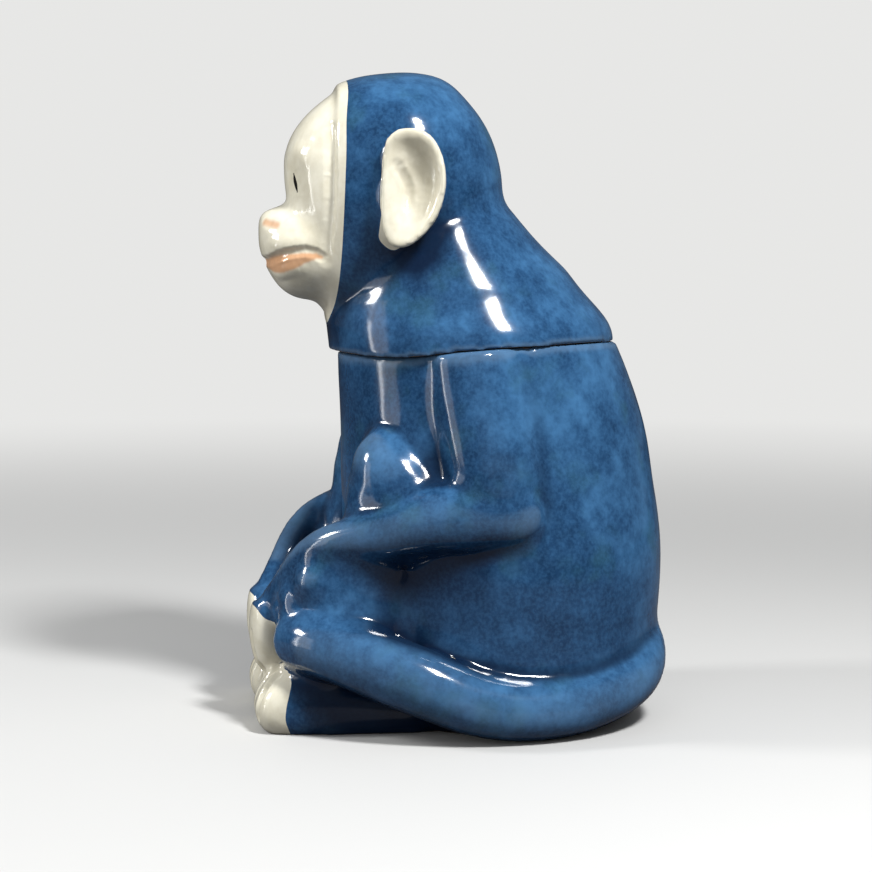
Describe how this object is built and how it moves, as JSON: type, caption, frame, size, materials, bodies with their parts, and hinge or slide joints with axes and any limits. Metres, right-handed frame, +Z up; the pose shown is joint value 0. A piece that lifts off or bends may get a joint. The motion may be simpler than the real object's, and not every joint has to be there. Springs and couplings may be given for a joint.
{
  "type": "lidded monkey jar",
  "caption": "Seated monkey jar in glossy blue and cream glazed ceramic, hugging its knees, with its tail round its side; the head and shoulders lift off as the lid.",
  "frame": {"origin": "middle of the foot ring, on the plane that the jar stands on", "axes": "+Z up through the jar's axis; the monkey looks towards -Y; its own left side, with the tail round it, is +X"},
  "size_m": [0.12, 0.1308, 0.2],
  "materials": {
    "blue_glaze": "gloss",
    "cream_glaze": "gloss",
    "bare_clay": "matte"
  },
  "bodies": {
    "jar": {"jar_shell": "blue_glaze", "left_arm": "blue_glaze", "right_arm": "blue_glaze", "left_leg": "blue_glaze", "right_leg": "blue_glaze", "left_hand": "cream_glaze", "right_hand": "cream_glaze", "left_toes": "cream_glaze", "right_toes": "cream_glaze", "tail": "blue_glaze"},
    "lid": {"lid_shell": "blue_glaze", "lid_flange": "bare_clay", "face": "cream_glaze", "left_ear": "cream_glaze", "right_ear": "cream_glaze"}
  },
  "joints": [
    {"name": "lid_lift", "type": "slide", "parent": "jar", "child": "lid", "axis": [0, 0, 1], "range_m": [0, 0.08]}
  ]
}
